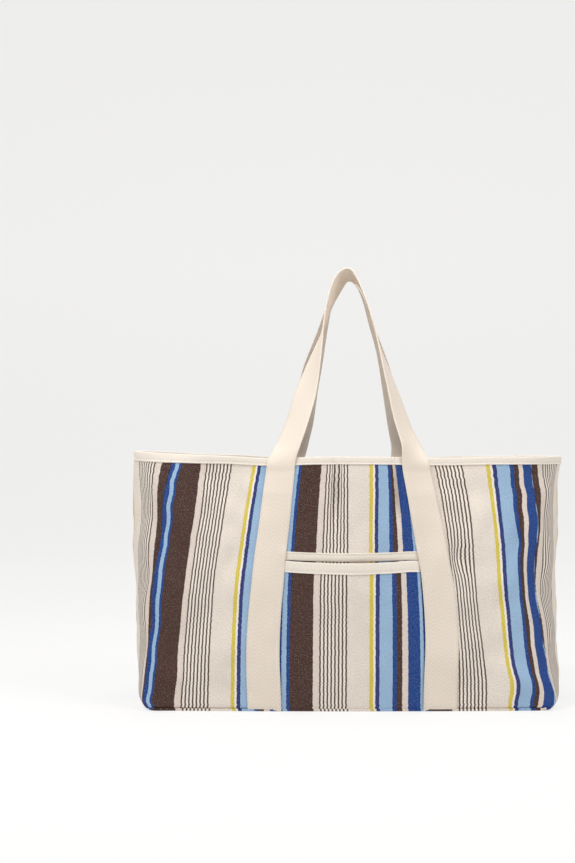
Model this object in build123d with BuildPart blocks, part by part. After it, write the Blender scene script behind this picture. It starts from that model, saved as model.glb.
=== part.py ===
"""Large open-topped canvas tote: five sewn cloth panels, a bound rim, a front pocket and two
webbing straps that run up the panels and on as carrying handles. Millimetres, +Z up, the origin at
the middle of the base, the pocket side towards -Y."""

import math
import os

from build123d import *

# --- driving sizes -----------------------------------------------------------------------------
cloth = 1.4  # striped canvas
bag_height = 443.0  # floor to the top of the bound rim
base_seam_height = 10.0  # the base cloth turns up this far to its seam
base_edge_radius = 7.0  # roll of the cloth along the bottom edge
base_parting = 3.0  # the base cloth is kept in two pieces that meet at this height

front_width_at_base = 722.0  # seam to seam
front_width_at_rim = 638.0
seam_depth_at_base = 236.0  # front seam to back seam
seam_depth_at_rim = 200.0
belly_at_base = 10.0  # how far the middle of a panel stands out past its seams
belly_at_half = 29.0
belly_at_rim = 24.0
end_span_at_base = 756.0  # over the two gussets
end_span_at_rim = 776.0

webbing_width = 60.0
webbing = 2.4
strap_spacing_at_base = 310.0  # centre to centre
strap_spacing_at_rim = 238.0
strap_bend_height = 170.0  # upright below this, drawn in above it

binding = 1.0  # thickness of the cotton tape
rim_binding_drop = 18.0  # visible width of the folded tape
pocket_mouth_height = 262.0
pocket_binding_drop = 19.0
pocket_gape = 12.0  # how far the empty pocket stands open at its mouth
pocket_sink = 0.8  # its inside form starts this far under the panel's face, to meet it cleanly
facing_drop = 15.0  # tape sewn to the panel just above the mouth
facing_gap = 3.0

handle_length = 340.0  # rim to the top of the loop, along its lean
handle_top_radius = 21.0
handle_gap = 1.0  # between the two loops where they lean together
handle_clearance = 0.3  # between a loop and the strap end that it folds over

seam_allowance = 12.0  # bound seam standing inside the bag
seam_bulk = 3.0  # two cloths and a tape

# --- worked out from them ----------------------------------------------------------------------
panel_top = bag_height - binding
wall_height = bag_height - base_seam_height
LEVELS = 3  # cross-sections that a wall is lofted through
LEG_STEPS = 7  # cross-sections of a handle's leg
TOP_STEPS = 3  # and of half the arc over its top
reach = 2.0 * bag_height  # longer than anything that it has to cut


def blend(low, high, share):
    return low + (high - low) * share


def belly(share):
    """Stand-out of a panel's middle, from the base seam (0) to the rim (1), as a parabola."""
    straight = blend(belly_at_base, belly_at_rim, share)
    half = blend(belly_at_base, belly_at_rim, 0.5)
    return straight + (belly_at_half - half) * 4.0 * share * (1.0 - share)


def seam_corner(share):
    """Where the front panel meets the right-hand gusset, on one level."""
    x = blend(front_width_at_base, front_width_at_rim, share) / 2.0
    y = blend(seam_depth_at_base, seam_depth_at_rim, share) / 2.0
    return x, y


def cross_section(share, grow=0.0):
    """The bag's outline at one level, moved outwards by grow: four arcs that meet at the seams."""
    x, y = seam_corner(share)
    x, y = x + grow, y + grow
    middle = y + belly(share)
    end = blend(end_span_at_base, end_span_at_rim, share) / 2.0 + grow
    with BuildSketch(Plane.XY.offset(blend(base_seam_height, bag_height, share))) as outline:
        with BuildLine():
            ThreePointArc((-x, -y), (0, -middle), (x, -y))
            ThreePointArc((x, -y), (end, 0), (x, y))
            ThreePointArc((x, y), (0, middle), (-x, y))
            ThreePointArc((-x, y), (-end, 0), (-x, -y))
        make_face()
    return outline.sketch


def bag_form(grow=0.0):
    """The closed form of the bag above its base seam, moved outwards by grow."""
    with BuildPart() as form:
        for level in range(LEVELS):
            add(cross_section(level / (LEVELS - 1), grow))
        loft(ruled=True)
    return form.part


def arc_depth(x, share):
    """How far in front of the origin the front panel's outside is, at x on one level."""
    half, seam = seam_corner(share)
    rise = belly(share)
    radius = (half**2 + rise**2) / (2.0 * rise)
    return seam + rise - radius + math.sqrt(radius**2 - x**2)


def panel_angle(x, share):
    """How far the front panel has turned away from facing straight forwards, at x on one level."""
    half, seam = seam_corner(share)
    rise = belly(share)
    return math.asin(x * 2.0 * rise / (half**2 + rise**2))


def share_at(height):
    return (height - base_seam_height) / wall_height


outside = bag_form()
inside = bag_form(-cloth)


# --- the five cloth panels ---------------------------------------------------------------------
def front_region():
    """Everything in front of the two front seams: a prism whose sides lie in the mitred seams."""
    past = 3.0 * belly_at_half  # further out and in than the panels reach
    with BuildPart() as region:
        for share in (0.0, 1.0):
            x, y = seam_corner(share)
            with BuildSketch(Plane.XY.offset(blend(base_seam_height, bag_height, share))):
                with BuildLine():
                    Polyline(
                        (-x - past, -y - past),
                        (x + past, -y - past),
                        (x - past, -y + past),
                        (-x + past, -y + past),
                        close=True,
                    )
                make_face()
        loft(ruled=True)
    return region.part


in_front = front_region()
behind = mirror(in_front, about=Plane.XZ)

with BuildPart() as cloth_wall:
    add(outside)
    add(inside, mode=Mode.SUBTRACT)
    with Locations((0, 0, panel_top)):
        Box(reach, reach, reach, align=(Align.CENTER, Align.CENTER, Align.MIN), mode=Mode.SUBTRACT)

with BuildPart() as front_panel:
    add(cloth_wall.part)
    add(in_front, mode=Mode.INTERSECT)

with BuildPart() as back_panel:
    add(cloth_wall.part)
    add(behind, mode=Mode.INTERSECT)

with BuildPart() as both_gussets:
    add(cloth_wall.part)
    add(in_front, mode=Mode.SUBTRACT)
    add(behind, mode=Mode.SUBTRACT)

with BuildPart() as right_gusset:
    add(both_gussets.part)
    split(bisect_by=Plane.YZ, keep=Keep.TOP)

with BuildPart() as left_gusset:
    add(both_gussets.part)
    split(bisect_by=Plane.YZ, keep=Keep.BOTTOM)

with BuildPart() as base_hollow:
    add(cross_section(0.0, -cloth))
    extrude(amount=-(base_seam_height - cloth))
    fillet(base_hollow.edges().group_by(Axis.Z)[0], base_edge_radius - cloth)

with BuildPart() as base_cloth:
    add(cross_section(0.0))
    extrude(amount=-base_seam_height)
    fillet(base_cloth.edges().group_by(Axis.Z)[0], base_edge_radius)
    add(base_hollow.part, mode=Mode.SUBTRACT)

# the one base cloth is kept as its flat floor and its turned-up edge, two simpler shapes
with BuildPart() as base_panel:
    add(base_cloth.part)
    split(bisect_by=Plane.XY.offset(base_parting), keep=Keep.BOTTOM)

with BuildPart() as base_edge:
    add(base_cloth.part)
    split(bisect_by=Plane.XY.offset(base_parting), keep=Keep.TOP)

# --- tape over the rim -------------------------------------------------------------------------
with BuildPart() as rim_binding:
    add(bag_form(binding))
    add(bag_form(-cloth - binding), mode=Mode.SUBTRACT)
    with Locations((0, 0, bag_height - rim_binding_drop)):
        Box(reach, reach, reach, align=(Align.CENTER, Align.CENTER, Align.MAX), mode=Mode.SUBTRACT)
    add(cloth_wall.part, mode=Mode.SUBTRACT)

with BuildPart() as rim_binding_right:
    add(rim_binding.part)
    split(bisect_by=Plane.YZ, keep=Keep.TOP)

with BuildPart() as rim_binding_left:
    add(rim_binding.part)
    split(bisect_by=Plane.YZ, keep=Keep.BOTTOM)

# --- webbing straps sewn up the front and the back ---------------------------------------------
def strap_route(side):
    """The middle of a strap on the panel, seen from the front: upright, then drawn in."""
    low = strap_spacing_at_base / 2.0
    high = strap_spacing_at_rim / 2.0
    Line((side * low, base_seam_height), (side * low, strap_bend_height))
    TangentArc((side * low, strap_bend_height), (side * high, bag_height), tangent=(0, 1))


def sewn_strap(side, over):
    """One strap lying on the front panel and over the tape already sewn there."""
    with BuildPart() as strap:
        add(bag_form(webbing))
        add(outside, mode=Mode.SUBTRACT)
        with BuildSketch(Plane.XZ):
            with BuildLine():
                strap_route(side)
            trace(line_width=webbing_width)
        extrude(amount=reach, mode=Mode.INTERSECT)
        for piece in over:
            add(piece, mode=Mode.SUBTRACT)
    return strap.part


front_strap_left = sewn_strap(-1, [rim_binding.part])
front_strap_right = sewn_strap(1, [rim_binding.part])
back_strap_left = mirror(front_strap_left, about=Plane.XZ)
back_strap_right = mirror(front_strap_right, about=Plane.XZ)


# --- front pocket between the straps -----------------------------------------------------------
def pocket_form(grow):
    """The pocket cloth's belly over the front panel, open at its mouth, moved outwards by grow."""
    half = (strap_spacing_at_base - webbing_width) / 2.0
    steps = 3
    with BuildPart() as form:
        for step in range(steps):
            up = step / (steps - 1)
            height = blend(base_seam_height, pocket_mouth_height + binding, up)
            share = share_at(height)
            edge = arc_depth(half, share) + grow
            middle = arc_depth(0.0, share) + grow + pocket_gape * up
            with BuildSketch(Plane.XY.offset(height)):
                with BuildLine():
                    ThreePointArc((-half, -edge), (0, -middle), (half, -edge))
                    Polyline((half, -edge), (half, 0), (-half, 0), (-half, -edge))
                make_face()
        loft()
    return form.part


def between_straps(low, high):
    """A slab through the bag between the inner edges of the straps, from low to high."""
    with BuildPart() as slab:
        with BuildSketch(Plane.XZ):
            with Locations((0, (low + high) / 2.0)):
                Rectangle(strap_spacing_at_base, high - low)
            for side in (-1, 1):
                with BuildLine():
                    strap_route(side)
                trace(line_width=webbing_width, mode=Mode.SUBTRACT)
        extrude(amount=reach)
    return slab.part.solids().sort_by_distance((0, -reach / 2.0, (low + high) / 2.0))[0]


with BuildPart() as pocket_panel:
    add(pocket_form(cloth))
    add(pocket_form(-pocket_sink), mode=Mode.SUBTRACT)
    add(outside, mode=Mode.SUBTRACT)
    add(between_straps(base_seam_height, pocket_mouth_height), mode=Mode.INTERSECT)

with BuildPart() as pocket_binding:
    add(pocket_form(cloth + binding))
    add(pocket_form(-pocket_sink - binding), mode=Mode.SUBTRACT)
    add(outside, mode=Mode.SUBTRACT)
    add(
        between_straps(pocket_mouth_height - pocket_binding_drop, pocket_mouth_height + binding),
        mode=Mode.INTERSECT,
    )
    add(pocket_panel.part, mode=Mode.SUBTRACT)

facing_low = pocket_mouth_height + binding + facing_gap
with BuildPart() as pocket_facing:
    add(bag_form(binding))
    add(outside, mode=Mode.SUBTRACT)
    add(between_straps(facing_low, facing_low + facing_drop), mode=Mode.INTERSECT)


# --- carrying handles --------------------------------------------------------------------------
handle_half_span = strap_spacing_at_rim / 2.0
handle_root_depth = arc_depth(handle_half_span, 1.0) + webbing / 2.0
handle_root_turn = panel_angle(handle_half_span, 1.0)
edge_reach = math.hypot(handle_length, webbing_width / 2.0)
handle_lean = math.asin((handle_root_depth - handle_gap / 2.0) / edge_reach) - math.atan2(
    webbing_width / 2.0, handle_length
)  # each loop leans in until its edge would touch the other's


def handle_section(out, along, turn, slope):
    """A cross-section plane of the left leg. out and along lie in the leaning plane of the loop,
    slope is the angle of the webbing's run from upright, turn is how far it has twisted."""
    up = Vector(0, math.sin(handle_lean), math.cos(handle_lean))
    facing = Vector(0, -math.cos(handle_lean), math.sin(handle_lean))
    run = Vector(1, 0, 0) * math.sin(slope) + up * math.cos(slope)
    outward = Vector(-1, 0, 0) * math.cos(slope) + up * math.sin(slope)
    face = facing * math.cos(turn) + outward * math.sin(turn)
    at = Vector(-out, -handle_root_depth, bag_height) + up * along
    return Plane(origin=at, x_dir=face.cross(run), z_dir=run)


def handle_stations():
    """The left leg runs straight from the rim to a small arc over the top."""
    centre = handle_length - handle_top_radius
    to_centre = math.atan2(handle_half_span, centre)
    slope = to_centre - math.asin(handle_top_radius / math.hypot(handle_half_span, centre))
    leg = math.sqrt(handle_half_span**2 + centre**2 - handle_top_radius**2)
    below = -webbing_width * math.tan(slope)  # far enough to be cut off square to the rim
    yield handle_half_span - below * math.sin(slope), below * math.cos(slope), handle_root_turn, slope
    for step in range(LEG_STEPS):
        share = step / (LEG_STEPS - 1)
        run = leg * share
        turn = blend(handle_root_turn, math.pi / 2.0, math.sin(share * math.pi / 2.0))
        yield handle_half_span - run * math.sin(slope), run * math.cos(slope), turn, slope
    for step in range(1, TOP_STEPS + 1):
        bend = blend(slope, math.pi / 2.0, step / TOP_STEPS)
        out = handle_top_radius * math.cos(bend)
        yield out, centre + handle_top_radius * math.sin(bend), math.pi / 2.0, bend


with BuildPart() as handle_leg:
    for station in handle_stations():
        with BuildSketch(handle_section(*station)):
            Rectangle(webbing_width, webbing)
    loft(ruled=True)
    with Locations((0, 0, bag_height + handle_clearance)):
        Box(reach, reach, reach, align=(Align.CENTER, Align.CENTER, Align.MAX), mode=Mode.SUBTRACT)

with BuildPart() as front_handle:
    add(handle_leg.part)
    mirror(handle_leg.part, about=Plane.YZ)

back_handle = mirror(front_handle.part, about=Plane.XZ)


# --- bound seam allowances inside --------------------------------------------------------------
def upright_seam():
    """The front right seam's allowance, standing in from the corner along its mitre."""
    with BuildPart() as seam:
        for share in (0.0, 1.0):
            x, y = seam_corner(share)
            level = Plane.XY.offset(blend(base_seam_height, bag_height, share))
            with BuildSketch(Plane(origin=level.from_local_coords((x, -y)), x_dir=(-1, 1, 0))):
                with Locations((seam_allowance / 2.0, 0)):
                    Rectangle(seam_allowance, seam_bulk)
        loft(ruled=True)
        add(inside, mode=Mode.INTERSECT)
        with Locations((0, 0, bag_height - rim_binding_drop)):
            Box(reach, reach, reach, align=(Align.CENTER, Align.CENTER, Align.MIN), mode=Mode.SUBTRACT)
    return seam.part


seam_front_right = upright_seam()
seam_front_left = mirror(seam_front_right, about=Plane.YZ)
seam_back_right = mirror(seam_front_right, about=Plane.XZ)
seam_back_left = mirror(seam_front_left, about=Plane.XZ)

# --- labels and files --------------------------------------------------------------------------
pieces = {
    "base_panel": base_panel.part,
    "base_edge": base_edge.part,
    "front_panel": front_panel.part,
    "back_panel": back_panel.part,
    "left_gusset": left_gusset.part,
    "right_gusset": right_gusset.part,
    "rim_binding_left": rim_binding_left.part,
    "rim_binding_right": rim_binding_right.part,
    "front_strap_left": front_strap_left,
    "front_strap_right": front_strap_right,
    "back_strap_left": back_strap_left,
    "back_strap_right": back_strap_right,
    "pocket_panel": pocket_panel.part,
    "pocket_binding": pocket_binding.part,
    "pocket_facing": pocket_facing.part,
    "front_handle": front_handle.part,
    "back_handle": back_handle,
    "seam_front_left": seam_front_left,
    "seam_front_right": seam_front_right,
    "seam_back_left": seam_back_left,
    "seam_back_right": seam_back_right,
}
os.makedirs("parts", exist_ok=True)
for name, piece in pieces.items():
    piece.label = name
    export_step(piece, f"parts/{name}.step")
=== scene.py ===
import bpy
import math
import numpy as np
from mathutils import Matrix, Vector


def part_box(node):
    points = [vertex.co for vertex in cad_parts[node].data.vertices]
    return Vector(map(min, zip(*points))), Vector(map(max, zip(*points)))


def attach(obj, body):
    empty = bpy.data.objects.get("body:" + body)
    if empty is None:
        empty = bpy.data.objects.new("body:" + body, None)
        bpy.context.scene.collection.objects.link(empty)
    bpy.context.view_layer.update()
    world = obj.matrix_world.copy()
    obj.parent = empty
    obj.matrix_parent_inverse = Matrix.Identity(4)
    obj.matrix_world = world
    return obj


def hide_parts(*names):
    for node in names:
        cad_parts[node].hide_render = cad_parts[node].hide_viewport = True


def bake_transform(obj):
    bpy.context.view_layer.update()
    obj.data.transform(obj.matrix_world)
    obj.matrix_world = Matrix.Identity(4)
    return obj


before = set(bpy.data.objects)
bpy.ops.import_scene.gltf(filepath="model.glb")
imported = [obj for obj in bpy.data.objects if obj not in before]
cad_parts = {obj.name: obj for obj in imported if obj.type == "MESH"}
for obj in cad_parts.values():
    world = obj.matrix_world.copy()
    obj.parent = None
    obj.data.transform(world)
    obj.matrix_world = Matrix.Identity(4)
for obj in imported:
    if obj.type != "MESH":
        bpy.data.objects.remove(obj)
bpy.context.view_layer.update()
mm = 0.001
print("frame loaded")

# camera, lights and floor
camera = {"distance": 3.0, "aside": -0.110, "height": 0.488, "tallAtBag": 1.569, "sensor": 36.0}


def makeCamera():
    data = bpy.data.cameras.new("viewCamera")
    data.sensor_width = camera["sensor"]
    data.lens = camera["sensor"] * camera["distance"] / camera["tallAtBag"]
    obj = bpy.data.objects.new("viewCamera", data)
    obj.location = (camera["aside"], -camera["distance"], camera["height"])
    obj.rotation_euler = (math.pi / 2, 0, 0)
    bpy.context.scene.collection.objects.link(obj)
    bpy.context.scene.camera = obj


lamps = {
    "key": {"at": (-1.1, -1.15, 2.4), "to": (0, 0, 0.5), "size": 1.0, "watts": 34},
    "fill": {"at": (1.35, -1.25, 2.3), "to": (0, 0, 0.5), "size": 1.4, "watts": 28},
    "top": {"at": (0, 0.2, 2.6), "to": (0, 0, 0.3), "size": 1.6, "watts": 20},
    "side": {"at": (-2.7, -0.4, 0.9), "to": (-0.4, 0, 0.25), "size": 1.0, "watts": 3.5},
}
roomLight = 0.25  # even light from all round


def makeLights():
    for name, lamp in lamps.items():
        data = bpy.data.lights.new(name, "AREA")
        data.shape = "DISK"
        data.size = lamp["size"]
        data.energy = lamp["watts"]
        obj = bpy.data.objects.new(name, data)
        obj.location = lamp["at"]
        obj.visible_camera = False
        aim = Vector(lamp["to"]) - Vector(lamp["at"])
        obj.rotation_euler = aim.to_track_quat("-Z", "Y").to_euler()
        bpy.context.scene.collection.objects.link(obj)
    world = bpy.data.worlds.new("studio")
    world.use_nodes = True
    background = world.node_tree.nodes["Background"]
    background.inputs["Color"].default_value = (1, 1, 1, 1)
    background.inputs["Strength"].default_value = roomLight
    bpy.context.scene.world = world
    bpy.context.scene.view_settings.view_transform = "Standard"


makeCamera()
makeLights()
print("camera and lights")

# the bag's form, in millimetres
form = {
    "rim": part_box("rim_binding_right")[1][2] / mm,
    "seam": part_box("base_edge")[1][2] / mm - 5.4,
    "endBase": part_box("base_edge")[1][0] / mm,
    "endRim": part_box("rim_binding_right")[1][0] / mm - 1,
    "seamXBase": 361,
    "seamXRim": 319,
    "seamYBase": 118,
    "seamYRim": 100,
    "bellyBase": 10,
    "bellyHalf": 29,
    "bellyRim": 24,
    "footRound": 24,  # how the lower ends of the bag curl under
    "cloth": 1.4,
    "gussetHalf": 120,
}
panelHalf = form["seamXBase"]
wallHeight = form["rim"] - form["seam"]

# the front's two end seams: how far each stands from the middle at each height
frontSeams = {
    -1: [(4, 366), (54, 358.6), (107, 353.4), (159, 348.6), (211, 346.5), (264, 339.4), (316, 331),
         (368, 328), (421, 316.6), (443, 308.6)],
    1: [(4, 362), (19, 359.4), (54, 350), (107, 341.5), (159, 335), (211, 326), (264, 326), (316, 330.5),
        (368, 327), (421, 319.5), (443, 318.8)],
}
# how far the middle of each end stands outside its plain slope at each height
endShift = {
    -1: [(4, 0), (107, 1.5), (211, 2.5), (316, 4.5), (368, 4), (420, 0), (443, -1)],
    1: [(4, 0), (80, 0), (159, -5), (264, -5.5), (316, -6.5), (368, -8), (443, -4)],
}
# how far the stripes wander sideways across the front, between four heights
stripeDrift = {
    "across": [-361, -346, -305, -180, -130, -60, 0, 60, 130, 160, 190, 237, 280, 314, 330, 341, 361],
    "low": [0, 0, 2.6, 2.6, 2, 0, 0, 4, 2, 0, 0, 0, 2.5, 2.5, 3.5, 4, 0],
    "middle": [0, -3, 3.5, 3.5, 3, 0, 0, 4, 4, 2, 3, 10, 6.5, 3, 2.5, 2, 0],
    "upper": [0, -2, 2, 1, 0, 0, 0.5, 4.5, 4, 2, 2, 5, 2, -2, -1, 0, 0],
    "high": [0, -4, 0, 0, 0, 0, 0, 2, 2, 0, 0, 1, 0, -3.8, -3.8, -3, 0],
    "levels": [37, 194, 300, 403],
}
# drawIn and power: how far the cloth is drawn sideways at the rim, and how late on the way up
# rimProfile and rimRise: how far the rim stands out, and how high, along its length
# folds are (place, depth, width, height it starts at, height it is full at)
# dents are (place, height, width, tallness, depth, sideways slide)
frontDrape = {
    "drawIn": [(-361, 54), (-346, 52), (-297, 44.5), (-193, 36.5), (-107, 22), (-60, 14), (-5, -1),
               (60, -5), (82, -13), (107, -28), (178, -43), (278, -41), (361, -42)],
    "power": [(-361, 0.9), (-297, 1.35), (-193, 2.3), (193, 2.3), (297, 1.35), (361, 0.85)],
    "rimProfile": [(-361, 0), (-300, 6), (-200, 7), (-175, 9), (-118, 31), (-60, 35), (0, 35),
                   (60, 36), (118, 32), (175, 9), (200, 7), (300, 6), (361, 0)],
    "rimRise": [(-388, 10), (-331, 7), (-267, 4), (-214, 2), (-152, -1.5), (-60, 1), (60, 1),
                (157, -1), (250, 0.5), (388, 0.4)],
    "folds": [(-28, 13, 11, 275, 380), (91, 10, 9, 300, 370), (-84, 5, 12, 300, 430)],
    "dents": [(207, 264, 16, 26, 9, -6), (318, 300, 12, 20, 8, 5), (-318, 62, 26, 20, -7, 3),
              (-290, 345, 22, 30, 4, 2), (300, 45, 42, 26, -5, 7), (250, 335, 26, 40, -4, 3),
              (-235, 250, 30, 40, 4, -2), (275, 180, 24, 40, 4, 2)],
    "seed": 4,
}
backDrape = {
    "drawIn": [(-361, 42), (-240, 41), (-155, 38), (-90, 30), (-40, 8), (10, 2), (60, -14),
               (100, -36), (155, -45), (240, -45), (361, -44)],
    "power": frontDrape["power"],
    "rimProfile": [(-361, 0), (-280, 7), (-190, 8), (-118, 24), (0, 27), (118, 24), (190, 8),
                   (280, 7), (361, 0)],
    "rimRise": [(-388, 0.4), (-250, -1), (-100, -4), (120, -4), (203, 1.5), (267, 3), (331, 7),
                (388, 10)],
    "folds": [(22, 11, 13, 260, 400), (-88, 8, 12, 300, 400)],
    "dents": [(-230, 300, 20, 30, 7, 4), (250, 150, 30, 40, 5, -3), (0, 120, 40, 40, 5, 3)],
    "seed": 9,
}


def mix(a, b, t):
    return a + (b - a) * t


def ease(a, b, x):
    t = np.clip((x - a) / (b - a), 0, 1)
    return t * t * (3 - 2 * t)


def through(points, x):
    # a smooth curve through a short list of points
    px = np.array([p[0] for p in points], float)
    py = np.array([p[1] for p in points], float)
    slope = np.gradient(py, px)
    x = np.clip(x, px[0], px[-1])
    i = np.clip(np.searchsorted(px, x) - 1, 0, len(px) - 2)
    w = px[i + 1] - px[i]
    t = (x - px[i]) / w
    return ((2 * t**3 - 3 * t**2 + 1) * py[i] + (t**3 - 2 * t**2 + t) * w * slope[i]
            + (3 * t**2 - 2 * t**3) * py[i + 1] + (t**3 - t**2) * w * slope[i + 1])


def ripples(a, b, seed, longest=190, count=14):
    # gentle unevenness: a few waves of random direction, about 1 high
    rng = np.random.default_rng(seed)
    total = 0
    for _ in range(count):
        length = longest * rng.uniform(0.28, 1)
        turn = rng.uniform(0, math.pi)
        phase = rng.uniform(0, 2 * math.pi)
        wave = 2 * math.pi / length
        total = total + (length / longest) * np.sin(
            wave * (a * math.cos(turn) + b * math.sin(turn)) + phase)
    return total / math.sqrt(count / 2)


def share(h):
    return (h - form["seam"]) / wallHeight


def footInset(h):
    r = form["footRound"]
    up = np.clip((r - h) / r, 0, 1)
    return r * (1 - np.sqrt(1 - up**2))


def corner(side, face, h):
    # where a gusset meets the front or back: side is -1 at -X, face is -1 at the front
    s = share(h)
    if face < 0:
        reach = through(frontSeams[side], h)
        drawnIn = mix(form["seamXBase"], form["seamXRim"], s) - reach
        y = mix(form["seamYBase"], form["seamYRim"], s) - 0.7 * drawnIn
        return side * (reach - footInset(h)), -y
    phase = 0.9 * side + 0.7 * face
    wobble = -2.2 - 3.2 * np.cos(2 * math.pi * (h - 40) / 148 + phase) * ease(10, 60, h)
    wobble = wobble - 2.0 * np.sin(2 * math.pi * h / 67 + 2 * phase) * ease(10, 80, h)
    wobble = wobble * (1 - ease(405, 440, h))
    x = side * (mix(form["seamXBase"], form["seamXRim"], s) - footInset(h) - wobble)
    y = face * (mix(form["seamYBase"], form["seamYRim"], s) + 0.6 * wobble)
    return x, y


def belly(s):
    straight = mix(form["bellyBase"], form["bellyRim"], s)
    half = mix(form["bellyBase"], form["bellyRim"], 0.5)
    return straight + (form["bellyHalf"] - half) * 4 * s * (1 - s)


def panelPoint(c, h, face):
    # c is the place across the cloth, h the height; the back is the same turned half round
    drape = frontDrape if face < 0 else backDrape
    s = np.clip(share(h), 0, 1.1)
    pull = through(drape["drawIn"], c) * np.power(s, through(drape["power"], c))
    x = c + pull
    for at, _, width, start, full in drape["folds"]:
        x = x + 0.18 * width * np.sin(np.clip((c - at) / width, -1, 1) * math.pi) * ease(start, full, h)
    for dc, dh, wide, tall, depth, slide in drape["dents"]:
        x = x + slide * np.exp(-((c - dc) / wide) ** 2 - ((h - dh) / tall) ** 2)
    xLeft = corner(-1, -1, h)[0] if face < 0 else -corner(1, 1, h)[0]
    xRight = corner(1, -1, h)[0] if face < 0 else -corner(-1, 1, h)[0]
    yLeft = -corner(-1, -1, h)[1] if face < 0 else corner(1, 1, h)[1]
    yRight = -corner(1, -1, h)[1] if face < 0 else corner(-1, 1, h)[1]
    edge = 60
    atLeft, atRight = [
        at + through(drape["drawIn"], at) * np.power(s, through(drape["power"], at))
        for at in (-panelHalf, panelHalf)]
    nearLeft = 1 - ease(0, edge, c + panelHalf)
    nearRight = 1 - ease(0, edge, panelHalf - c)
    x = x + nearLeft * (xLeft - atLeft) + nearRight * (xRight - atRight)
    q = np.clip(c / panelHalf, -1, 1)
    plain = belly(s) * (1 - q**2)
    out = mix(plain, through(drape["rimProfile"], c), ease(240, 425, h))
    for at, depth, width, start, full in drape["folds"]:
        calmRim = 1 - 0.75 * ease(385, 430, h)
        out = out - depth * np.exp(-((c - at) / width) ** 2) * ease(start, full, h) * calmRim
    for dc, dh, wide, tall, depth, _ in drape["dents"]:
        out = out - depth * np.exp(-((c - dc) / wide) ** 2 - ((h - dh) / tall) ** 2)
    inside = (1 - q**8) * ease(10, 70, h) * (1 - 0.6 * ease(400, 440, h))
    calm = mix(0.35, 1, ease(125, 230, np.abs(c)))
    out = out + 3.0 * calm * inside * ripples(c, h, drape["seed"])
    out = out + 0.8 * calm * inside * ripples(c, h, drape["seed"] + 1, 60)
    fromEdge = panelHalf - np.abs(c)
    out = out - 2.2 * np.exp(-fromEdge / 2.5) - 1.6 * np.exp(-(h - form["seam"]) / 2.2)
    level = mix(form["seamYBase"], form["seamYRim"], s)
    y = level + nearLeft * (yLeft - level) + nearRight * (yRight - level) + out
    z = h + through(drape["rimRise"], x) * ease(300, 440, h)
    return np.stack([x, -y, z], -1) if face < 0 else np.stack([-x, y, z], -1)


def gussetPoint(g, h, side):
    # g runs from the front seam to the back seam
    s = np.clip(share(h), 0, 1.1)
    half = form["gussetHalf"]
    q = g / half
    seamX = mix(form["seamXBase"], form["seamXRim"], s)
    seamY = mix(form["seamYBase"], form["seamYRim"], s)
    end = mix(form["endBase"], form["endRim"], s) - footInset(h) + through(endShift[side], h)
    rise = end - (seamX - footInset(h))
    radius = (rise**2 + seamY**2) / (2 * rise)
    angle = q * 2 * np.arctan(rise / seamY)
    x = side * (end - radius + radius * np.cos(angle))
    y = radius * np.sin(angle)
    for face in (-1, 1):
        cx, cy = corner(side, face, h)
        near = np.power(np.clip((1 + face * q) / 2, 0, 1), 4)
        x = x + near * (cx - side * (seamX - footInset(h)))
        y = y + near * (cy - face * seamY)
    free = (1 - q**6) * ease(10, 60, h)
    out = 1.6 * free * ripples(g, h, 21 + side) + 0.5 * free * ripples(g, h, 31 + side, 60)
    swell = np.sin(2 * math.pi * (h + 14 * side) / 122) * np.exp(-((np.abs(q) - 0.72) / 0.2) ** 2)
    out = out + 4.0 * swell * ease(30, 110, h) * (1 - ease(380, 440, h))
    fromEdge = half - np.abs(g)
    out = out - 2.2 * np.exp(-fromEdge / 2.5) - 1.6 * np.exp(-(h - form["seam"]) / 2.2)
    x = x + side * out * np.cos(angle)
    y = y + out * np.sin(angle)
    z = h + through(frontDrape["rimRise"], x) * ease(300, 440, h)
    return np.stack([x, y, z], -1)


def unit(vector):
    return vector / np.linalg.norm(vector, axis=-1, keepdims=True)


def surfaceNormal(place, a, b, *more):
    step = 1.5
    da = place(a + step, b, *more) - place(a - step, b, *more)
    db = place(a, b + step, *more) - place(a, b - step, *more)
    return unit(np.cross(da, db))


def outward(points, n):
    # the normals that face away from the bag's upright middle line
    away = points * np.array([1, 1, 0])
    flip = np.sign(np.sum(away * n, -1, keepdims=True))
    return n * np.where(flip == 0, 1, flip)


# mesh makers
def addMesh(name, points, faces, uvs, material):
    mesh = bpy.data.meshes.new(name)
    mesh.from_pydata((np.asarray(points) * mm).tolist(), [], faces)
    layer = mesh.uv_layers.new(name="cloth")
    index = np.empty(len(mesh.loops), int)
    mesh.loops.foreach_get("vertex_index", index)
    layer.data.foreach_set("uv", (np.asarray(uvs)[index] * mm).astype(np.float32).ravel())
    mesh.polygons.foreach_set("use_smooth", [True] * len(mesh.polygons))
    mesh.update()
    obj = bpy.data.objects.new(name, mesh)
    bpy.context.scene.collection.objects.link(obj)
    obj.data.materials.append(material)
    return obj


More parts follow.
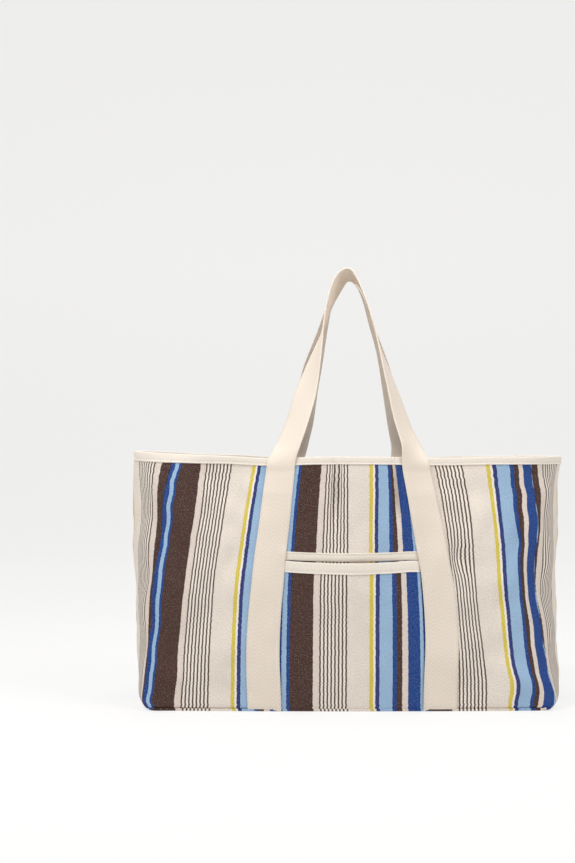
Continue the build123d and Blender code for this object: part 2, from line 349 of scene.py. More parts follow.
def slabMesh(name, outer, normal, thick, u, v, material):
    # a closed sheet: outer is a grid of points, the inner side lies thick behind it
    rows, cols = outer.shape[:2]
    inner = outer - normal * thick
    count = rows * cols
    u = np.broadcast_to(u, (rows, cols))
    v = np.broadcast_to(v, (rows, cols))
    middle = (outer + inner) / 2
    ring = ([(0, j) for j in range(cols)] + [(i, cols - 1) for i in range(1, rows)]
            + [(rows - 1, j) for j in range(cols - 2, -1, -1)] + [(i, 0) for i in range(rows - 2, 0, -1)])
    ri = np.array([r[0] for r in ring])
    rj = np.array([r[1] for r in ring])
    inI = np.clip(ri, 1, rows - 2)
    inJ = np.clip(rj, 1, cols - 2)
    push = outer[ri, rj] - outer[inI, inJ]
    push = push / np.maximum(np.linalg.norm(push, axis=1, keepdims=True), 1e-6)
    rim = middle[ri, rj] + push * thick * 0.3
    points = np.concatenate([outer.reshape(-1, 3), inner.reshape(-1, 3), rim])
    flat = np.stack([u.ravel(), v.ravel()], -1)
    uvs = np.concatenate([flat, flat, np.stack([u[ri, rj], v[ri, rj]], -1)])
    i, j = np.meshgrid(np.arange(rows - 1), np.arange(cols - 1), indexing="ij")
    a = (i * cols + j).ravel()
    quads = np.stack([a, a + 1, a + cols + 1, a + cols], -1)
    faces = quads.tolist() + (quads[:, ::-1] + count).tolist()
    top = ri * cols + rj
    n = len(ring)
    for k in range(n):
        m = (k + 1) % n
        faces.append([top[k], 2 * count + k, 2 * count + m, top[m]])
        faces.append([2 * count + k, top[k] + count, top[m] + count, 2 * count + m])
    centre = (rows // 2, cols // 2)
    across = outer[centre[0], centre[1] + 1] - outer[centre]
    along = outer[centre[0] + 1, centre[1]] - outer[centre]
    if np.dot(np.cross(across, along), normal[centre]) < 0:
        faces = [f[::-1] for f in faces]
    return addMesh(name, points, faces, uvs, material)


def tubeMesh(name, rings, u, v, closed, material):
    # a closed band: each ring is one cross-section
    rows, cols = rings.shape[:2]
    faces = []
    for i in range(rows if closed else rows - 1):
        k = (i + 1) % rows
        for j in range(cols):
            m = (j + 1) % cols
            faces.append([i * cols + j, i * cols + m, k * cols + m, k * cols + j])
    if not closed:
        faces.append(list(range(cols))[::-1])
        faces.append([(rows - 1) * cols + j for j in range(cols)])
    u = np.broadcast_to(u, (rows, cols))
    v = np.broadcast_to(v, (rows, cols))
    obj = addMesh(name, rings.reshape(-1, 3), faces, np.stack([u.ravel(), v.ravel()], -1),
                  material)
    bpy.ops.object.select_all(action="DESELECT")
    bpy.context.view_layer.objects.active = obj
    obj.select_set(True)
    bpy.ops.object.mode_set(mode="EDIT")
    bpy.ops.mesh.select_all(action="SELECT")
    bpy.ops.mesh.normals_make_consistent(inside=False)
    bpy.ops.object.mode_set(mode="OBJECT")
    obj.select_set(False)
    return obj


thread = {"radius": 0.42, "stitch": 3.0, "gap": 1.0, "sides": 6}


def stitchRow(name, path, normal):
    # a row of separate stitches laid along a path on the cloth
    stitch = thread["stitch"]
    gap = thread["gap"]
    path = np.asarray(path, float)
    normal = np.asarray(normal, float)
    length = np.concatenate([[0], np.cumsum(np.linalg.norm(np.diff(path, axis=0), axis=1))])
    starts = np.arange(gap / 2, length[-1] - stitch, stitch + gap)
    profile = [(0, 0.35, -0.5), (0.12, 0.9, 0.1), (0.5, 1.0, 0.45), (0.88, 0.9, 0.1), (1, 0.35, -0.5)]
    points = []
    faces = []
    sides = thread["sides"]
    r = thread["radius"]
    for start in starts:
        first = len(points)
        for t, wide, lift in profile:
            at = start + t * stitch
            p = np.array([np.interp(at, length, path[:, k]) for k in range(3)])
            n = np.array([np.interp(at, length, normal[:, k]) for k in range(3)])
            n = n / np.linalg.norm(n)
            q = np.array([np.interp(at + 0.5, length, path[:, k]) for k in range(3)]) - np.array(
                [np.interp(at - 0.5, length, path[:, k]) for k in range(3)])
            side = np.cross(q, n)
            side = side / np.linalg.norm(side)
            for k in range(sides):
                turn = 2 * math.pi * k / sides
                points.append(p + (side * math.cos(turn) + n * math.sin(turn)) * r * wide + n * r * lift)
        for ring in range(len(profile) - 1):
            for k in range(sides):
                m = (k + 1) % sides
                a = first + ring * sides
                faces.append([a + k, a + m, a + sides + m, a + sides + k])
        faces.append([first + k for k in range(sides)][::-1])
        last = first + (len(profile) - 1) * sides
        faces.append([last + k for k in range(sides)])
    points = np.array(points)
    obj = addMesh(name, points, faces, points[:, :2] * 0, threadMaterial)
    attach(obj, "bag")
    return obj


# materials
def colour(r, g, b):
    # from a screen colour to the linear one that a shader takes
    linear = [(k / 255 / 12.92) if k < 10.3 else ((k / 255 + 0.055) / 1.055) ** 2.4 for k in (r, g, b)]
    return (*linear, 1)


stripes = {
    "palette": {"brown": (74, 51, 45), "pink": (226, 212, 201), "line": (88, 68, 58),
                "ground": (241, 232, 221), "grey": (232, 221, 209), "yellow": (218, 197, 82),
                "white": (240, 234, 226), "navy": (46, 57, 118), "light": (155, 185, 214),
                "blue": (28, 68, 136)},
    "brownStart": -346,
    "gussetOffset": {-1: (33, 25), 1: (38, 28)},
    "gussetTuck": 20,  # cloth taken up by the tuck near each front seam, and its share at each height
    "gussetFold": [(10, 0.3), (107, 0.4), (159, 0.6), (211, 0.4), (264, 0.7), (316, 1), (368, 1),
                   (421, 0.1), (443, 0)],
    "thread": 2.6,
    "jag": 1.1,  # how far single threads carry a colour over its edge
    "fleck": (222, 208, 196),
}
order = [("brown", 40.5), ("pink", 11)]
for _ in range(7):
    order += [("line", 3.0), ("ground", 3.62)]
order += [("line", 3.0), ("grey", 38.5), ("yellow", 6), ("white", 4), ("navy", 7), ("light", 21.5),
          ("blue", 7), ("brown", 9.5), ("pink", 10.5), ("blue", 21.5), ("light", 9), ("blue", 6)]
repeat = sum(width for _, width in order)


def node(tree, kind, **values):
    made = tree.nodes.new(kind)
    for key, value in values.items():
        setattr(made, key, value)
    return made


def maths(tree, operation, a, b=None):
    made = node(tree, "ShaderNodeMath", operation=operation)
    for k, value in enumerate((a, b)):
        if value is None:
            continue
        if isinstance(value, (int, float)):
            made.inputs[k].default_value = value
        else:
            tree.links.new(value, made.inputs[k])
    return made.outputs[0]


def newMaterial(name, roughness):
    mat = bpy.data.materials.new(name)
    mat.use_nodes = True
    tree = mat.node_tree
    shader = tree.nodes["Principled BSDF"]
    shader.inputs["Roughness"].default_value = roughness
    shader.inputs["Specular IOR Level"].default_value = 0.2
    uv = node(tree, "ShaderNodeUVMap", uv_map="cloth")
    split = node(tree, "ShaderNodeSeparateXYZ")
    tree.links.new(uv.outputs[0], split.inputs[0])
    return mat, tree, shader, uv.outputs[0], split.outputs[0], split.outputs[1]


def mottle(tree, vector, scale, low, high, detail=2):
    # a noise mapped to a range of brightness
    tex = node(tree, "ShaderNodeTexNoise")
    tex.inputs["Scale"].default_value = scale
    tex.inputs["Detail"].default_value = detail
    tree.links.new(vector, tex.inputs["Vector"])
    spread = node(tree, "ShaderNodeMapRange")
    spread.inputs["From Min"].default_value = 0.3
    spread.inputs["From Max"].default_value = 0.7
    spread.inputs["To Min"].default_value = low
    spread.inputs["To Max"].default_value = high
    tree.links.new(tex.outputs[0], spread.inputs["Value"])
    return spread.outputs[0]


def tinted(tree, base, factor):
    scale = node(tree, "ShaderNodeVectorMath", operation="SCALE")
    if isinstance(base, tuple):
        scale.inputs[0].default_value = base[:3]
    else:
        tree.links.new(base, scale.inputs[0])
    tree.links.new(factor, scale.inputs["Scale"])
    return scale.outputs[0]


def addBump(tree, shader, height, strength, distance):
    bump = node(tree, "ShaderNodeBump")
    bump.inputs["Strength"].default_value = strength
    bump.inputs["Distance"].default_value = distance
    tree.links.new(height, bump.inputs["Height"])
    tree.links.new(bump.outputs[0], shader.inputs["Normal"])


def threads(tree, coordinate, pitch):
    # a rounded thread profile from 0 to 1, repeated every pitch metres
    wave = maths(tree, "SINE", maths(tree, "MULTIPLY", coordinate, 2 * math.pi / pitch))
    return maths(tree, "ADD", maths(tree, "MULTIPLY", wave, 0.5), 0.5)


def makeCanvas():
    mat, tree, shader, uv, u, v = newMaterial("stripedCanvas", 0.92)
    row = maths(tree, "FLOOR", maths(tree, "DIVIDE", v, stripes["thread"] * mm))
    white = node(tree, "ShaderNodeTexWhiteNoise", noise_dimensions="1D")
    tree.links.new(row, white.inputs["W"])
    jag = maths(tree, "MULTIPLY", maths(tree, "SUBTRACT", white.outputs[0], 0.5), stripes["jag"] * mm)
    place = maths(tree, "SUBTRACT", maths(tree, "ADD", u, jag), stripes["brownStart"] * mm)
    turn = maths(tree, "FRACT", maths(tree, "ADD", maths(tree, "DIVIDE", place, repeat * mm), 8.0))
    ramp = node(tree, "ShaderNodeValToRGB")
    ramp.color_ramp.interpolation = "CONSTANT"
    at = 0
    for k, (name, width) in enumerate(order):
        if k < 2:
            element = ramp.color_ramp.elements[k]
            element.position = at / repeat
        else:
            element = ramp.color_ramp.elements.new(at / repeat)
        element.color = colour(*stripes["palette"][name])
        at += width
    tree.links.new(turn, ramp.inputs[0])
    fine = mottle(tree, uv, 520, 0.80, 1.20)
    broad = mottle(tree, uv, 26, 0.965, 1.03)
    weave = maths(tree, "MULTIPLY", fine, broad)
    speck = node(tree, "ShaderNodeTexNoise")
    speck.inputs["Scale"].default_value = 600
    speck.inputs["Detail"].default_value = 1
    tree.links.new(uv, speck.inputs["Vector"])
    fleck = node(tree, "ShaderNodeMapRange")
    fleck.inputs["From Min"].default_value = 0.55
    fleck.inputs["From Max"].default_value = 0.74
    fleck.inputs["To Max"].default_value = 0.28
    tree.links.new(speck.outputs[0], fleck.inputs["Value"])
    blendIn = node(tree, "ShaderNodeMix", data_type="RGBA")
    tree.links.new(fleck.outputs[0], blendIn.inputs["Factor"])
    tree.links.new(tinted(tree, ramp.outputs[0], weave), blendIn.inputs["A"])
    blendIn.inputs["B"].default_value = colour(*stripes["fleck"])
    tree.links.new(blendIn.outputs["Result"], shader.inputs["Base Color"])
    diagonal = threads(tree, maths(tree, "ADD", u, v), 1.7 * mm)
    addBump(tree, shader, maths(tree, "ADD", diagonal, fine), 0.35, 0.25 * mm)
    return mat


webbingWeave = {"colour": (236, 223, 208), "columnPair": 30, "rib": 7.2, "slant": 1.43,
                "plainAbove": (375, 380), "plainShare": 0.25}


def makeWebbing():
    # a herringbone weave, fainter where the webbing is not sewn down
    weave = webbingWeave
    mat, tree, shader, uv, u, v = newMaterial("undyedWebbing", 0.9)
    column = maths(tree, "SINE", maths(tree, "MULTIPLY", u, 2 * math.pi / (weave["columnPair"] * mm)))
    slope = maths(tree, "MULTIPLY", maths(tree, "SIGN", column), weave["slant"])
    rib = threads(tree, maths(tree, "ADD", maths(tree, "MULTIPLY", u, slope), v), weave["rib"] * mm)
    worn = node(tree, "ShaderNodeMapRange")
    worn.inputs["From Min"].default_value = weave["plainAbove"][0] * mm
    worn.inputs["From Max"].default_value = weave["plainAbove"][1] * mm
    worn.inputs["To Min"].default_value = 1
    worn.inputs["To Max"].default_value = weave["plainShare"]
    tree.links.new(v, worn.inputs["Value"])
    relief = maths(tree, "MULTIPLY", rib, worn.outputs[0])
    dark = maths(tree, "ADD", maths(tree, "MULTIPLY", relief, -0.13), 1.05)
    spread = maths(tree, "MULTIPLY", dark, mottle(tree, uv, 480, 0.93, 1.05))
    tree.links.new(tinted(tree, colour(*weave["colour"]), spread), shader.inputs["Base Color"])
    addBump(tree, shader, relief, 0.5, 0.3 * mm)
    return mat


# the tape's brightness by distance from its edge is a painted highlight at the edge and painted shade over
# the stitching line
tapeWeave = {"colour": (244, 234, 221), "rib": 1.9, "width": 12,
             "paintedLightAndShade": ((0, 1.0), (0.16, 1.0), (0.25, 0.80), (0.34, 0.93), (0.5, 0.93))}


def makeTape():
    # v is the distance from the folded edge; a painted highlight makes that edge bright, above painted
    # shade along a sunk line of stitching
    mat, tree, shader, uv, u, v = newMaterial("undyedTape", 0.92)
    rib = threads(tree, maths(tree, "ADD", u, v), tapeWeave["rib"] * mm)
    profile = node(tree, "ShaderNodeValToRGB")
    for k, (at, value) in enumerate(tapeWeave["paintedLightAndShade"]):
        element = profile.color_ramp.elements[k] if k < 2 else profile.color_ramp.elements.new(at)
        element.position = at
        element.color = (value, value, value, 1)
    fromEdge = maths(tree, "DIVIDE", maths(tree, "ABSOLUTE", v), tapeWeave["width"] * mm)
    tree.links.new(fromEdge, profile.inputs[0])
    dark = maths(tree, "ADD", maths(tree, "MULTIPLY", rib, 0.05), 0.975)
    spread = maths(tree, "MULTIPLY", dark, mottle(tree, uv, 300, 0.96, 1.04))
    # painted highlight and painted shade scale the tape's colour here
    paintedLightAndShade = maths(tree, "MULTIPLY", spread, profile.outputs[0])
    tree.links.new(tinted(tree, colour(*tapeWeave["colour"]), paintedLightAndShade), shader.inputs["Base Color"])
    addBump(tree, shader, rib, 0.3, 0.25 * mm)
    return mat


def makeThread():
    mat, _, shader, *_ = newMaterial("sewingThread", 0.7)
    shader.inputs["Base Color"].default_value = colour(243, 236, 226)
    return mat


canvas = makeCanvas()
webbingMaterial = makeWebbing()
tapeMaterial = makeTape()
threadMaterial = makeThread()
print("materials")

# the five cloth panels
panels = {"spacing": 3.2, "backSpacing": 4.5, "top": form["rim"] - 1,
          "takenUp": (-8, 4.5),  # cloth turned into the left and right end seams
          "pucker": 1.1, "puckerLength": 8.6}


def steps(a, b, spacing):
    return np.linspace(a, b, int(round(abs(b - a) / spacing)) + 1)


def clothGrid(place, across, up, *more):
    a, h = np.meshgrid(across, up)
    points = place(a, h, *more)
    return a, h, points, outward(points, surfaceNormal(place, a, h, *more))


def drift(a, h):
    # how far the printed stripes lie to the left of where a flat cloth would put them
    table = stripeDrift
    rows = [np.interp(a, table["across"], table[k]) for k in ("low", "middle", "upper", "high")]
    total = rows[0]
    for k in range(3):
        total = total + (rows[k + 1] - rows[k]) * ease(table["levels"][k], table["levels"][k + 1], h)
    return total


def makePanel(name, face, spacing):
    across = steps(-panelHalf, panelHalf, spacing)
    a, h, points, normal = clothGrid(panelPoint, across, steps(form["seam"], panels["top"], spacing), face)
    u = a + np.where(a < 0, *panels["takenUp"]) * ease(335, panelHalf, np.abs(a))
    wave = np.sin(h / panels["puckerLength"] + 2.1 * np.sin(h / 61) + face)
    u = u + panels["pucker"] * ease(285, 350, np.abs(a)) * wave
    if face < 0:
        u = u + drift(a, h)
    obj = slabMesh(name, points, normal, form["cloth"], u, h, canvas)
    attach(obj, "bag")
    return obj


def makeGusset(name, side):
    across = steps(-form["gussetHalf"], form["gussetHalf"], panels["spacing"])
    up = steps(form["seam"], panels["top"], panels["spacing"])
    a, h, points, normal = clothGrid(gussetPoint, across, up, side)
    start = form["gussetHalf"] + stripes["brownStart"]
    u = a + start + mix(*stripes["gussetOffset"][side], ease(230, 440, h))
    u = u + stripes["gussetTuck"] * ease(-94, -50, a) * through(stripes["gussetFold"], h)
    obj = slabMesh(name, points, normal, form["cloth"], u, h, canvas)
    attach(obj, "bag")
    return obj


base = {"halfLength": 378, "halfDepth": 122, "endRoll": 19.5, "sideRoll": 8,
        "lengthCells": 190, "depthCells": 70}


def makeBase():
    def spread(count, start):
        return np.unique(np.concatenate([np.linspace(-1, 1, count), np.linspace(start, 1, 14),
                                         -np.linspace(start, 1, 14)]))
    startX = 1 - base["endRoll"] / base["halfLength"]
    startY = 1 - base["sideRoll"] / base["halfDepth"]
    a, b = np.meshgrid(spread(base["lengthCells"], startX), spread(base["depthCells"], startY))
    seam = np.full(a.shape, float(form["seam"]))
    half = form["gussetHalf"]
    low = panelPoint(a * panelHalf, seam, -1)
    high = panelPoint(-a * panelHalf, seam, 1)
    left = gussetPoint(b * half, seam, -1)
    right = gussetPoint(b * half, seam, 1)
    s = ((a + 1) / 2)[..., None]
    t = ((b + 1) / 2)[..., None]
    corners = [panelPoint(np.full(a.shape, c * 1.0), seam, f)
               for c, f in ((-panelHalf, -1), (panelHalf, -1), (panelHalf, 1), (-panelHalf, 1))]
    flat = (low * (1 - t) + high * t + left * (1 - s) + right * s
            - corners[0] * (1 - s) * (1 - t) - corners[1] * s * (1 - t)
            - corners[2] * (1 - s) * t - corners[3] * s * t)
    tx = np.clip((np.abs(a) - startX) / (1 - startX), 0, 1)
    ty = np.clip((np.abs(b) - startY) / (1 - startY), 0, 1)
    climb = 1 - np.sqrt(1 - np.clip(tx**2 + ty**2, 0, 1))
    points = np.stack([flat[..., 0], flat[..., 1], form["seam"] * climb], -1)
    across = np.gradient(points, axis=1)
    along = np.gradient(points, axis=0)
    normal = unit(np.cross(along, across))
    obj = slabMesh("baseCloth", points, normal, form["cloth"], flat[..., 0], flat[..., 1], canvas)
    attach(obj, "bag")
    return obj


frontCloth = makePanel("frontCloth", -1, panels["spacing"])
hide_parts("front_panel")
backCloth = makePanel("backCloth", 1, panels["backSpacing"])
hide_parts("back_panel")
leftCloth = makeGusset("leftGussetCloth", -1)
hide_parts("left_gusset")
rightCloth = makeGusset("rightGussetCloth", 1)
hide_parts("right_gusset")
baseCloth = makeBase()
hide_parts("base_panel", "base_edge")
print("cloth panels")

# tape folded over the rim
rimTape = {"drop": 12.6, "deeper": 0.27, "proud": 1.3, "bead": 0.8, "stitchUp": 3.0}


def rimPath():
    # the four walls in turn, anticlockwise seen from above
    half = form["gussetHalf"]
    spacing = panels["spacing"]
    return [(panelPoint, steps(-panelHalf, panelHalf, spacing), -1),
            (gussetPoint, steps(-half, half, spacing), 1),
            (panelPoint, steps(-panelHalf, panelHalf, spacing), 1),
            (gussetPoint, steps(half, -half, spacing), -1)]


def rimLine(drop):
    # points and outward normals all round the bag, drop below the top edge
    points = []
    normals = []
    for place, across, which in rimPath():
        a = across[:-1]
        x = place(a, np.full(a.shape, form["rim"] - 1.0), which)[..., 0]
        h = form["rim"] - 0.6 - drop * (1 + rimTape["deeper"] * (1 - ease(-360, -190, x)))
        p = place(a, h, which)
        points.append(p)
        normals.append(outward(p, surfaceNormal(place, a, h, which)))
    points = np.concatenate(points)
    normals = np.concatenate(normals)
    return points, unit(sum(np.roll(normals, k, axis=0) for k in range(-2, 3)))


def makeRimTape():
    half = form["cloth"] / 2
    top = rimTape["proud"]
    low = rimTape["drop"]
    profile = [(low, 0.2), (low + 0.4, 1.0), (low - 0.5, top + rimTape["bead"]), (low - 1.6, top + 0.6),
               (low - 2.8, top - 0.5), (low - 4.2, top), (5, top + 0.2), (2, top), (0.6, top - 0.1),
               (-0.3, top - 0.8), (-0.6, -half), (-0.3, -2 * half - top + 0.8),
               (0.6, -2 * half - top + 0.1), (5, -2 * half - top), (10, -2 * half - top),
               (low - 1.6, -2 * half - top - 0.3), (low + 0.2, -2 * half - 0.9), (low, -2 * half - 0.1)]
    rings = []
    for drop, off in profile:
        p, n = rimLine(drop)
        rings.append(p + n * off)
    rings = np.stack(rings, axis=1)
    length = np.concatenate([[0], np.cumsum(np.linalg.norm(np.diff(rings[:, 5], axis=0), axis=1))])
    across = np.array([low - d for d, _ in profile], float)
    obj = tubeMesh("rimTape", rings, length[:, None], across[None, :], True, tapeMaterial)
    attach(obj, "bag")
    return obj


rimCloth = makeRimTape()
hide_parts("rim_binding_left", "rim_binding_right")
p, n = rimLine(rimTape["drop"] - rimTape["stitchUp"])
stitchRow("rimStitches", p + n * (rimTape["proud"] - 0.35), n)
print("rim tape")

# front pocket
pocket = {"half": 127, "mouth": 263.4, "hang": 4.2, "gape": 8.0, "lift": 1.7, "band": 19, "stitchUp": 2.8,
          "facingLow": 265.0, "facingHigh": 279.6, "facingHang": 3.0, "facingStitchDown": 2.6,
          "proud": 1.2, "spacing": 3}


def sag(across, amount):
    # how far an edge hangs down between the straps that hold its ends
    return amount * (1 - np.clip(np.abs(across + 6) / 112, 0, 1) ** 2)


def pocketPoint(c, h, face):
    # the pocket's outside, which leaves the panel towards its mouth
    points = panelPoint(c, h, face)
    normal = outward(points, surfaceNormal(panelPoint, c, h, face))
    rise = ease(70, pocket["mouth"], h) * (1 - np.clip(np.abs(c) / 124, 0, 1) ** 2.2)
    wave = 1 + 0.22 * np.sin(c / 26 + 0.8) + 0.12 * np.sin(c / 11)
    return points + normal * (pocket["lift"] + pocket["gape"] * rise * wave)[..., None]


def makePocket():
    across = steps(-pocket["half"], pocket["half"], pocket["spacing"])
    a, up = np.meshgrid(across, steps(0, 1, pocket["spacing"] / 252))
    h = mix(float(form["seam"]), pocket["mouth"] - 1 - sag(a, pocket["hang"]), up)
    points = pocketPoint(a, h, -1)
    normal = outward(points, surfaceNormal(pocketPoint, a, h, -1))
    u = a + np.interp(a, [-127, -67, -4, 44, 70, 127], [2, 2, 3.2, 2.6, 1, 1.2])
    obj = slabMesh("pocketCloth", points, normal, form["cloth"], u, h, canvas)
    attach(obj, "bag")
    return obj


def bandAlong(name, place, profile, hang, edge):
    # a tape whose cross-section is a list of (height, offset) pairs, laid from left to right
    across = steps(-pocket["half"], pocket["half"], pocket["spacing"])
    rings = []
    for high, off in profile:
        height = high - sag(across, hang)
        p = place(across, height, -1)
        rings.append(p + outward(p, surfaceNormal(place, across, height, -1)) * off)
    rings = np.stack(rings, axis=1)
    apart = np.array([abs(k[0] - edge) for k in profile], float)
    obj = tubeMesh(name, rings, across[:, None], apart[None, :], False, tapeMaterial)
    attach(obj, "bag")
    return obj


def tapeStitches(name, place, height, hang):
    across = steps(-pocket["half"] + 4, pocket["half"] - 4, pocket["spacing"])
    level = height - sag(across, hang)
    p = place(across, level, -1)
    n = outward(p, surfaceNormal(place, across, level, -1))
    return stitchRow(name, p + n * (pocket["proud"] - 0.3), n)


def mouthProfile():
    top = pocket["mouth"]
    low = top - pocket["band"]
    proud = pocket["proud"]
    return [(low, 0.1), (low - 0.3, 0.9), (low + 0.5, proud + 0.7), (low + 1.5, proud + 0.5),
            (low + 2.8, proud - 0.5), (low + 4.2, proud), (low + 9, proud + 0.1), (top - 3, proud),
            (top - 0.4, proud - 0.3), (top + 0.4, 0.2), (top + 0.3, -1.4), (top - 0.4, -2.5),
            (top - 9, -2.6), (low + 1, -2.5), (low, -1.5)]


def facingProfile():
    top = pocket["facingHigh"]
    low = pocket["facingLow"]
    proud = pocket["proud"]
    return [(low, 0.1), (low - 0.2, 0.8), (low + 0.6, proud + 0.2), (low + 7, proud), (top - 4, proud),
            (top - 2.6, proud - 0.5), (top - 1.2, proud + 0.5), (top - 0.4, proud + 0.5),
            (top + 0.2, 0.8), (top, 0.1), (low + 7, 0.05)]


pocketCloth = makePocket()
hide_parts("pocket_panel")
foot = pocket["mouth"] - pocket["band"]
mouthTape = bandAlong("pocketMouthTape", pocketPoint, mouthProfile(), pocket["hang"], foot)
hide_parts("pocket_binding")
facingTape = bandAlong("pocketFacingTape", panelPoint, facingProfile(), pocket["facingHang"],
                       pocket["facingHigh"])
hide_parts("pocket_facing")
mouthStitches = tapeStitches("mouthStitches", pocketPoint, foot + pocket["stitchUp"], pocket["hang"])
tapeStitches("facingStitches", panelPoint, pocket["facingHigh"] - pocket["facingStitchDown"],
             pocket["facingHang"])
print("pocket")

# webbing, strap and loop in one length
web = {"at": 155, "half": 28.8, "thick": 2.3, "lift": 0.25, "across": 13, "lean": 0.277,
       "sewnTo": 428, "shift": 7, "crossAt": 384, "overPocket": 3.1}
rootHeight = 438
# (place along the loop, distance from the middle, height)
loopLine = [(-1.0, -119, 438), (-0.86, -95, 497), (-0.72, -77, 557), (-0.58, -61, 616), (-0.43, -45, 675),
            (-0.3, -32, 722), (-0.17, -18, 753), (0.0, 0, 769), (0.17, 17.5, 753), (0.3, 30.5, 722),
            (0.43, 43.2, 675), (0.58, 59.4, 616), (0.72, 76.3, 557), (0.86, 92.8, 497), (1.0, 116.5, 438)]
# how far the webbing is turned on edge along the loop, in degrees
loopTurn = {
    -1: [(-1, 38), (-0.86, 46), (-0.73, 48), (-0.62, 62), (-0.52, 76), (-0.44, 88), (-0.3, 98),
         (-0.17, 103), (0, 93), (0.1, 85), (0.26, 81), (0.39, 84), (0.45, 84.5), (0.5, 82),
         (0.6, 75), (0.7, 67), (0.8, 60), (0.9, 54), (1, 40)],
    1: [(-1, 25), (-0.87, 48), (-0.7, 66), (-0.55, 76), (-0.4, 82), (-0.22, 86), (0, 88), (0.22, 80),
        (0.4, 72), (0.48, 65), (0.6, 52), (0.73, 48), (0.87, 36), (1, 14)],
}
# how far the front straps are sewn off their plain line at each height
strapShift = {
    -1: [(4, 5), (126, 1.5), (241, 5.7), (320, 6), (400, 1.5), (430, 0)],
    1: [(4, 0.5), (37, 1), (126, 5), (194, 4.2), (225, 3.2), (272, 0), (430, 0)],
}
# how much wider the back loop hangs than the front one
backShift = [(-1, -1.3), (-0.87, 2.5), (-0.7, 5), (-0.55, 6), (-0.4, 2), (-0.22, 0), (0.45, 1.2),
             (0.6, 0.6), (0.75, -5.2), (0.85, -7.8), (0.93, -9.4), (1, -15.2)]


def valueAt(points, x):
    return float(through(points, np.array([float(x)]))[0])


def strapRow(side, h, face):
    # one row across a sewn strap: points on its under side, and their normals
    at = side * (web["at"] - web["shift"] * ease(240, 430, h))
    if face < 0:
        at = at + valueAt(strapShift[side], h)
    half = web["half"] * (1 + 0.02 * ease(240, 430, h))
    c = at + np.linspace(-half, half, web["across"])
    level = np.full(c.shape, float(h))
    p = panelPoint(c, level, face)
    n = outward(p, surfaceNormal(panelPoint, c, level, face))
    over = np.zeros(c.shape)
    if face < 0:
        inner = ease(0, 6, pocket["half"] + 6 - np.abs(c))
        over = web["overPocket"] * inner * (1 - ease(276, 292, h))
    over = over + (rimTape["proud"] + 0.5) * ease(form["rim"] - 23, form["rim"] - 16, h)
    return p + n * (web["lift"] + over)[:, None], n


def loopRow(t, face, rootY):
    # one row across the free loop, for the front; the back is the same turned half round
    def at(k, where):
        return valueAt([(q[0], q[k]) for q in loopLine], where)

    lean = math.atan(web["lean"])
    up = np.array([0, math.sin(lean), math.cos(lean)])
    facing = np.array([0, -math.cos(lean), math.sin(lean)])
    rise = (at(2, t + 0.02) - at(2, t - 0.02)) / math.cos(lean)
    run = unit(np.array([1.0, 0, 0]) * (at(1, t + 0.02) - at(1, t - 0.02)) + up * rise)
    away = np.cross(facing, run)
    turn = math.radians(valueAt(loopTurn[face], t))
    normal = facing * math.cos(turn) + away * math.sin(turn)
    width = np.cross(run, normal)
    width = width * (1 if width[0] >= 0 or abs(t) < 0.5 else -1)
    x = at(1, t)
    if face > 0:
        x += math.copysign(1, t) * valueAt(backShift, t)
    centre = np.array([x, -rootY + (at(2, t) - rootHeight) * web["lean"], at(2, t)])
    return centre, width, normal


def webbingRows(face):
    level = list(steps(form["seam"], web["sewnTo"], 4))
    left = [strapRow(-1, h, face) for h in level]
    right = [strapRow(1, h, face) for h in reversed(level)]
    root = abs(float(left[-1][0][web["across"] // 2][1]))
    mirrored = np.array([1, 1, 1]) if face < 0 else np.array([-1, -1, 1])
    spread = np.linspace(-web["half"], web["half"], web["across"])[:, None]
    loop = []
    last = None
    for t in np.linspace(-0.93, 0.93, 61):
        centre, width, normal = loopRow(t, face, root)
        if last is not None and np.dot(width, last) < 0:
            width = -width
        last = width
        facing = np.broadcast_to(normal, (len(spread), 3))
        loop.append(((centre + width * spread) * mirrored, facing * mirrored))
    first = left[-1][0][-1] - left[-1][0][0]
    if np.dot(loop[0][0][-1] - loop[0][0][0], first) < 0:
        loop = [(r[::-1], n) for r, n in loop]
    # the right strap is laid with the same edge first as the loop's end
    end = loop[-1][0][-1] - loop[-1][0][0]
    if np.dot(right[0][0][-1] - right[0][0][0], end) < 0:
        right = [(r[::-1], n[::-1]) for r, n in right]
    chain = left + loop + right
    rows = np.array([r for r, _ in chain])
    normals = np.array([n for _, n in chain])
    middle = rows[:, web["across"] // 2]
    gone = np.concatenate([[0], np.cumsum(np.linalg.norm(np.diff(middle, axis=0), axis=1))])
    fine = np.linspace(0, gone[-1], int(gone[-1] / 3.6))
    flat = np.concatenate([rows, normals], -1).reshape(len(chain), -1)
    out = np.stack([through(list(zip(gone, flat[:, k])), fine) for k in range(flat.shape[1])], -1)
    out = out.reshape(len(fine), web["across"], 6)
    return out[..., :3], unit(out[..., 3:]), fine


for face, word in ((-1, "front"), (1, "back")):
    rows, normals, along = webbingRows(face)
    spread = np.linspace(-web["half"], web["half"], web["across"])
    fromEnd = np.minimum(along, along[-1] - along)
    piece = slabMesh(word + "Webbing", rows + normals * web["thick"], normals, web["thick"],
                     spread[None, :], fromEnd[:, None], webbingMaterial)
    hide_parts(word + "_strap_left", word + "_strap_right", word + "_handle")
    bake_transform(piece)
    for side, sideWord in ((-1, "Left"), (1, "Right")):
        row, n = strapRow(side, web["crossAt"], face)
        stitchRow(word + sideWord + "CrossStitches", row + n * web["thick"], n)
        if face > 0:
            continue
        levels = steps(form["seam"] + 4, web["crossAt"], 6)
        laid = [strapRow(side, h, face) for h in levels]
        for edge, edgeWord in ((1, "Near"), (-2, "Far")):
            path = np.array([r[edge] + m[edge] * (web["thick"] - 0.1) for r, m in laid])
            facing = np.array([m[edge] for _, m in laid])
            stitchRow(word + sideWord + edgeWord + "Stitches", path, facing)
print("webbing")

# bound seams inside, and the floor
seamTape = {"allowance": 12, "bulk": 3, "start": 3.0, "spacing": 12}


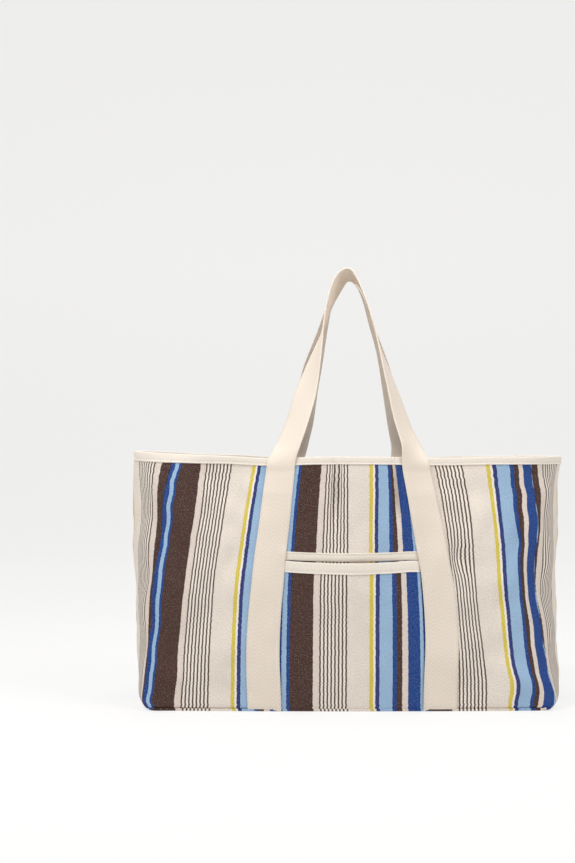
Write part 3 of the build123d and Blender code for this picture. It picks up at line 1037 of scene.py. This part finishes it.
def makeSeam(name, side, face):
    reach = seamTape["allowance"]
    half = seamTape["bulk"] / 2
    rings = []
    for h in steps(form["seam"] + 4, form["rim"] - 20, seamTape["spacing"]):
        x, y = corner(side, face, np.array(float(h)))
        inward = unit(np.array([-side * 1.0, -face * 1.0, 0]))
        across = np.array([inward[1], -inward[0], 0])
        at = np.array([float(x), float(y), h]) + inward * seamTape["start"]
        tip = at + inward * reach
        rings.append([at + across * half, tip + across * half * 0.9, at + inward * (reach + 0.9),
                      tip - across * half * 0.9, at - across * half])
    u = np.arange(5)[None, :] * 6.0
    v = np.arange(len(rings))[:, None] * float(seamTape["spacing"])
    obj = tubeMesh(name, np.array(rings), u, v, False, tapeMaterial)
    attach(obj, "bag")
    return obj


for side, sideWord in ((-1, "left"), (1, "right")):
    for face, faceWord in ((-1, "front"), (1, "back")):
        seam = makeSeam(faceWord + sideWord.capitalize() + "Seam", side, face)
        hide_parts("seam_" + faceWord + "_" + sideWord)


sweep = {"wide": 6.0, "front": -9.0, "wall": 4.2, "bend": 1.2, "tall": 4.5, "colour": (126, 126, 125),
         "glow": 0.73}


def makeStage():
    # a paper sweep: a floor that bends up into a wall
    bend = sweep["bend"]
    line = [(sweep["front"], 0)]
    for k in range(9):
        turn = k * math.pi / 16
        line.append((sweep["wall"] - bend + bend * math.sin(turn), bend - bend * math.cos(turn)))
    line.append((sweep["wall"], sweep["tall"]))
    points = [(x, y, z) for y, z in line for x in (-sweep["wide"], sweep["wide"])]
    faces = [(2 * k, 2 * k + 1, 2 * k + 3, 2 * k + 2) for k in range(len(line) - 1)]
    mesh = bpy.data.meshes.new("studioSweep")
    mesh.from_pydata(points, [], faces)
    mesh.polygons.foreach_set("use_smooth", [True] * len(mesh.polygons))
    obj = bpy.data.objects.new("studioSweep", mesh)
    bpy.context.scene.collection.objects.link(obj)
    mat = bpy.data.materials.new("studioPaper")
    mat.use_nodes = True
    shader = mat.node_tree.nodes["Principled BSDF"]
    shader.inputs["Base Color"].default_value = colour(*sweep["colour"])
    shader.inputs["Roughness"].default_value = 0.95
    shader.inputs["Emission Color"].default_value = (1, 0.995, 0.99, 1)
    shader.inputs["Emission Strength"].default_value = sweep["glow"]
    obj.data.materials.append(mat)


makeStage()
